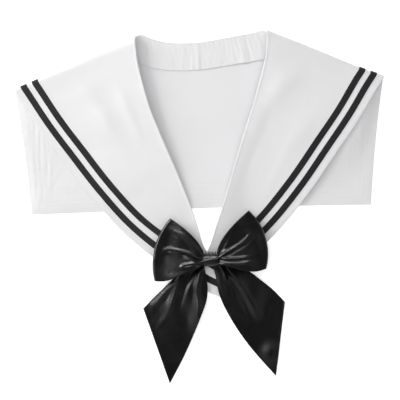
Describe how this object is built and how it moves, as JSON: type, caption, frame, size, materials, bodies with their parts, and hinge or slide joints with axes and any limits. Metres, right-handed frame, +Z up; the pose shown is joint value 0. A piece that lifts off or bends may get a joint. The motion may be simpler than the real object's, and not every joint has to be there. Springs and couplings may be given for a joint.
{
  "type": "sailor collar",
  "caption": "White sailor collar folded flat, with twin black tapes along its edge, a gathered neck band and a black satin bow at the front.",
  "frame": {"origin": "on the ground, under the middle of the laid collar and its bow", "axes": "+X across the shoulders towards the right in the picture, +Y from the front point to the back neck, +Z up off the ground"},
  "size_m": [0.3998, 0.3792, 0.0221],
  "materials": {
    "white_cotton": "matt plain-weave cotton",
    "black_tape": "matt woven tape",
    "black_satin": "glossy satin",
    "pin_steel": "plain steel"
  },
  "bodies": {
    "root": {"collar_cloth": "white_cotton", "tape_outer": "black_tape", "tape_inner": "black_tape", "neck_band": "white_cotton", "bow_loop_left": "black_satin", "bow_loop_right": "black_satin", "bow_tail_left": "black_satin", "bow_tail_right": "black_satin", "bow_knot": "black_satin", "bow_pin": "pin_steel"}
  },
  "joints": []
}
